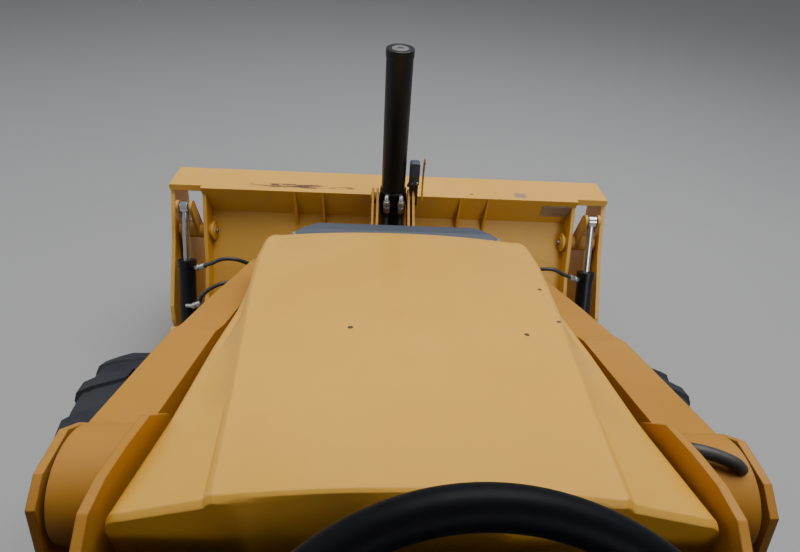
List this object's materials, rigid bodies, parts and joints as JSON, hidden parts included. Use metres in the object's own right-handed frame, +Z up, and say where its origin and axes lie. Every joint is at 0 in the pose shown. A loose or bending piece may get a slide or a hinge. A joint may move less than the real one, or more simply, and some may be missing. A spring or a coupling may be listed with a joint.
{
  "type": "backhoe loader",
  "caption": "Backhoe loader with a cab, a clamshell bucket on lift arms in front and a side-shift swinging digger arm behind",
  "frame": {"origin": "on the ground under the middle of the machine's bounding box", "axes": "+Y forward, +X to the driver's right, +Z up"},
  "size_m": [2.406, 7.1522, 3.6238],
  "materials": {
    "yellow_paint": "faded satin yellow",
    "dark_paint": "satin black",
    "cab_paint": "satin dark grey",
    "rim_paint": "dusty satin",
    "chrome_rod": "hard chrome with a light oil film",
    "black_plastic": "grained",
    "seat_fabric": "woven",
    "worn_steel": "paint worn at the edge",
    "clear_glass": "clear",
    "tyre_rubber": "dusty rubber"
  },
  "bodies": {
    "root_frame": {"main_frame": "dark_paint", "engine_block": "dark_paint", "front_axle": "dark_paint", "rear_axle": "dark_paint", "loader_towers": "yellow_paint", "front_grille": "dark_paint", "cab_frame": "cab_paint", "cab_roof": "yellow_paint", "cab_glass": "clear_glass", "control_stands": "dark_paint", "rear_fenders": "yellow_paint", "side_tanks": "dark_paint", "slide_frame": "dark_paint"},
    "knuckle_left": {"knuckle_left": "dark_paint"},
    "knuckle_right": {"knuckle_right": "dark_paint"},
    "steering_rod": {"steering_rod": "dark_paint"},
    "front_wheel_left": {"front_tyre_left": "tyre_rubber", "front_rim_left": "rim_paint"},
    "rear_wheel_left": {"rear_tyre_left": "tyre_rubber", "rear_rim_left": "rim_paint"},
    "front_wheel_right": {"front_tyre_right": "tyre_rubber", "front_rim_right": "rim_paint"},
    "rear_wheel_right": {"rear_tyre_right": "tyre_rubber", "rear_rim_right": "rim_paint"},
    "steering_wheel": {"steering_wheel": "black_plastic"},
    "seat": {"operator_seat": "seat_fabric"},
    "hood": {"hood": "yellow_paint", "front_trim": "dark_paint"},
    "door_left": {"door_left": "cab_paint", "door_glass_left": "clear_glass"},
    "door_right": {"door_right": "cab_paint", "door_glass_right": "clear_glass"},
    "loader_arms": {"loader_arms": "yellow_paint", "torque_tube": "yellow_paint"},
    "lift_tubes": {"lift_cylinder_tubes": "dark_paint"},
    "lift_rods": {"lift_cylinder_rods": "chrome_rod"},
    "loader_bucket": {"loader_bucket": "yellow_paint"},
    "tilt_tube": {"tilt_cylinder_tube": "dark_paint"},
    "tilt_rod": {"tilt_cylinder_rod": "chrome_rod"},
    "bucket_jaw": {"bucket_jaw": "worn_steel"},
    "jaw_tubes": {"jaw_cylinder_tubes": "dark_paint"},
    "jaw_rods": {"jaw_cylinder_rods": "chrome_rod"},
    "stabiliser_left": {"stabiliser_left": "dark_paint"},
    "stabiliser_right": {"stabiliser_right": "dark_paint"},
    "swing_carriage": {"swing_carriage": "yellow_paint"},
    "kingpost": {"kingpost": "yellow_paint"},
    "swing_rod_left": {"swing_rod_left": "chrome_rod"},
    "swing_rod_right": {"swing_rod_right": "chrome_rod"},
    "boom": {"boom": "yellow_paint"},
    "boom_tube": {"boom_cylinder_tube": "dark_paint"},
    "boom_rod": {"boom_cylinder_rod": "chrome_rod"},
    "stick": {"stick": "yellow_paint"},
    "crowd_tube": {"crowd_cylinder_tube": "dark_paint"},
    "crowd_rod": {"crowd_cylinder_rod": "chrome_rod"},
    "hoe_bucket": {"hoe_bucket": "yellow_paint"},
    "bucket_rocker": {"bucket_rocker": "yellow_paint"},
    "bucket_link": {"bucket_link": "yellow_paint"},
    "hoe_tube": {"hoe_cylinder_tube": "dark_paint"},
    "hoe_rod": {"hoe_cylinder_rod": "chrome_rod"}
  },
  "joints": [
    {"name": "steer_left", "type": "hinge", "parent": "root_frame", "child": "knuckle_left", "pos_m": [-0.8, 1.44608, 0.485], "axis": [0, 0, 1], "range_deg": [-35, 35]},
    {"name": "steer_right", "type": "hinge", "parent": "root_frame", "child": "knuckle_right", "pos_m": [0.8, 1.44608, 0.485], "axis": [0, 0, 1], "range_deg": [-35.3, 35.3]},
    {"name": "steering_rod_slide", "type": "slide", "parent": "root_frame", "child": "steering_rod", "axis": [1, 0, 0], "range_m": [-0.0756, 0.0756]},
    {"name": "front_wheel_left_spin", "type": "hinge", "parent": "knuckle_left", "child": "front_wheel_left", "pos_m": [-0.93, 1.44608, 0.485], "axis": [1, 0, 0], "continuous": true},
    {"name": "rear_wheel_left_spin", "type": "hinge", "parent": "root_frame", "child": "rear_wheel_left", "pos_m": [-0.865, -0.75392, 0.7], "axis": [1, 0, 0], "continuous": true},
    {"name": "front_wheel_right_spin", "type": "hinge", "parent": "knuckle_right", "child": "front_wheel_right", "pos_m": [0.93, 1.44608, 0.485], "axis": [1, 0, 0], "continuous": true},
    {"name": "rear_wheel_right_spin", "type": "hinge", "parent": "root_frame", "child": "rear_wheel_right", "pos_m": [0.865, -0.75392, 0.7], "axis": [1, 0, 0], "continuous": true},
    {"name": "steering_wheel_turn", "type": "hinge", "parent": "root_frame", "child": "steering_wheel", "pos_m": [0, 0.26908, 1.984], "axis": [0, -0.6561, 0.7547], "continuous": true},
    {"name": "seat_swivel", "type": "hinge", "parent": "root_frame", "child": "seat", "pos_m": [0, -0.42392, 1.11], "axis": [0, 0, 1], "range_deg": [0, 180]},
    {"name": "hood_open", "type": "hinge", "parent": "root_frame", "child": "hood", "pos_m": [0, 0.65108, 1.712], "axis": [1, 0, 0], "range_deg": [0, 55]},
    {"name": "door_right_open", "type": "hinge", "parent": "root_frame", "child": "door_right", "pos_m": [0.742, -0.14392, 1.9], "axis": [0, 0, -1], "range_deg": [0, 85]},
    {"name": "door_left_open", "type": "hinge", "parent": "root_frame", "child": "door_left", "pos_m": [-0.742, -0.14392, 1.9], "axis": [0, 0, 1], "range_deg": [0, 85]},
    {"name": "arms_lift", "type": "hinge", "parent": "root_frame", "child": "loader_arms", "pos_m": [0, 0.80108, 1.495], "axis": [1, 0, 0], "range_deg": [-4, 92]},
    {"name": "lift_tube_turn", "type": "hinge", "parent": "root_frame", "child": "lift_tubes", "pos_m": [0, 0.74608, 0.85], "axis": [1, 0, 0], "range_deg": [-3.02, 64.95]},
    {"name": "lift_rod_slide", "type": "slide", "parent": "lift_tubes", "child": "lift_rods", "axis": [0, 0.9945, 0.1044], "range_m": [-0.0323, 0.7]},
    {"name": "bucket_tilt", "type": "hinge", "parent": "loader_arms", "child": "loader_bucket", "pos_m": [0, 2.53608, 0.42], "axis": [-1, 0, 0], "range_deg": [0, 135]},
    {"name": "tilt_tube_turn", "type": "hinge", "parent": "loader_arms", "child": "tilt_tube", "pos_m": [0, 2.72608, 1.06], "axis": [1, 0, 0], "range_deg": [-7.54, 0.2]},
    {"name": "tilt_rod_slide", "type": "slide", "parent": "tilt_tube", "child": "tilt_rod", "axis": [0, 0.0545, -0.9985], "range_m": [-0.002, 0.7378]},
    {"name": "jaw_open", "type": "hinge", "parent": "loader_bucket", "child": "bucket_jaw", "pos_m": [0, 2.80608, 0.77], "axis": [1, 0, 0], "range_deg": [0, 75]},
    {"name": "jaw_tube_turn", "type": "hinge", "parent": "loader_bucket", "child": "jaw_tubes", "pos_m": [0, 2.44608, 0.33], "axis": [1, 0, 0], "range_deg": [-0.2, 4.67]},
    {"name": "jaw_rod_slide", "type": "slide", "parent": "jaw_tubes", "child": "jaw_rods", "axis": [0, 0.4402, 0.8979], "range_m": [-0.2272, 0.002]},
    {"name": "stabiliser_left_lower", "type": "slide", "parent": "root_frame", "child": "stabiliser_left", "axis": [0, 0, -1], "range_m": [0, 0.55]},
    {"name": "stabiliser_right_lower", "type": "slide", "parent": "root_frame", "child": "stabiliser_right", "axis": [0, 0, -1], "range_m": [0, 0.55]},
    {"name": "digger_side_shift", "type": "slide", "parent": "root_frame", "child": "swing_carriage", "axis": [1, 0, 0], "range_m": [-0.5, 0.5]},
    {"name": "digger_swing", "type": "hinge", "parent": "swing_carriage", "child": "kingpost", "pos_m": [0, -2.19392, 0.65], "axis": [0, 0, 1], "range_deg": [-90, 90]},
    {"name": "swing_rod_left_slide", "type": "slide", "parent": "swing_carriage", "child": "swing_rod_left", "axis": [0, 1, 0], "range_m": [-0.122, 0.122]},
    {"name": "swing_rod_right_slide", "type": "slide", "parent": "swing_carriage", "child": "swing_rod_right", "axis": [0, 1, 0], "range_m": [-0.122, 0.122]},
    {"name": "boom_lower", "type": "hinge", "parent": "kingpost", "child": "boom", "pos_m": [0, -2.40392, 0.7], "axis": [1, 0, 0], "range_deg": [0, 135]},
    {"name": "boom_tube_turn", "type": "hinge", "parent": "kingpost", "child": "boom_tube", "pos_m": [0, -2.18392, 1.01], "axis": [1, 0, 0], "range_deg": [-0.2, 134.23]},
    {"name": "boom_rod_slide", "type": "slide", "parent": "boom_tube", "child": "boom_rod", "axis": [0, 0.1815, 0.9834], "range_m": [-0.002, 0.704]},
    {"name": "stick_reach", "type": "hinge", "parent": "boom", "child": "stick", "pos_m": [0, -1.94392, 3.33], "axis": [-1, 0, 0], "range_deg": [0, 120]},
    {"name": "crowd_tube_turn", "type": "hinge", "parent": "boom", "child": "crowd_tube", "pos_m": [0, -1.98272, 2.23068], "axis": [1, 0, 0], "range_deg": [-2.65, 0.2]},
    {"name": "crowd_rod_slide", "type": "slide", "parent": "crowd_tube", "child": "crowd_rod", "axis": [0, 0.1546, 0.988], "range_m": [-0.5196, 0.002]},
    {"name": "hoe_bucket_curl", "type": "hinge", "parent": "stick", "child": "hoe_bucket", "pos_m": [0, -3.38977, 2.02454], "axis": [-1, 0, 0], "range_deg": [0, 165]},
    {"name": "rocker_turn", "type": "hinge", "parent": "stick", "child": "bucket_rocker", "pos_m": [0, -3.18127, 2.25321], "axis": [1, 0, 0], "range_deg": [-106.88, 0.2]},
    {"name": "link_turn", "type": "hinge", "parent": "bucket_rocker", "child": "bucket_link", "pos_m": [0, -3.46112, 2.09802], "axis": [1, 0, 0], "range_deg": [-0.2, 108.8]},
    {"name": "hoe_tube_turn", "type": "hinge", "parent": "stick", "child": "hoe_tube", "pos_m": [0, -2.25681, 3.30348], "axis": [1, 0, 0], "range_deg": [-8.62, 0.2]},
    {"name": "hoe_rod_slide", "type": "slide", "parent": "hoe_tube", "child": "hoe_rod", "axis": [0, -0.7068, -0.7074], "range_m": [-0.4691, 0.002]}
  ],
  "couplings": [
    {"joint": "steer_right", "follows": "steer_left", "ratio": 1},
    {"joint": "steering_rod_slide", "follows": "steer_left", "m_per_rad": 0.12206},
    {"joint": "lift_tube_turn", "follows": "arms_lift", "ratio": 0.70385},
    {"joint": "lift_rod_slide", "follows": "arms_lift", "m_per_rad": 0.43472},
    {"joint": "tilt_tube_turn", "follows": "bucket_tilt", "ratio": -0.054346},
    {"joint": "tilt_rod_slide", "follows": "bucket_tilt", "m_per_rad": 0.31228},
    {"joint": "jaw_tube_turn", "follows": "jaw_open", "ratio": 0.059649},
    {"joint": "jaw_rod_slide", "follows": "jaw_open", "m_per_rad": -0.17205},
    {"joint": "swing_rod_left_slide", "follows": "digger_swing", "m_per_rad": -0.076394},
    {"joint": "swing_rod_right_slide", "follows": "digger_swing", "m_per_rad": 0.076394},
    {"joint": "boom_tube_turn", "follows": "boom_lower", "ratio": 0.99284},
    {"joint": "boom_rod_slide", "follows": "boom_lower", "m_per_rad": 0.29795},
    {"joint": "crowd_tube_turn", "follows": "stick_reach", "ratio": -0.020372},
    {"joint": "crowd_rod_slide", "follows": "stick_reach", "m_per_rad": -0.24713},
    {"joint": "rocker_turn", "follows": "hoe_bucket_curl", "ratio": -0.64655},
    {"joint": "link_turn", "follows": "hoe_bucket_curl", "ratio": 0.65817},
    {"joint": "hoe_tube_turn", "follows": "hoe_bucket_curl", "ratio": -0.051},
    {"joint": "hoe_rod_slide", "follows": "hoe_bucket_curl", "m_per_rad": -0.16221}
  ]
}
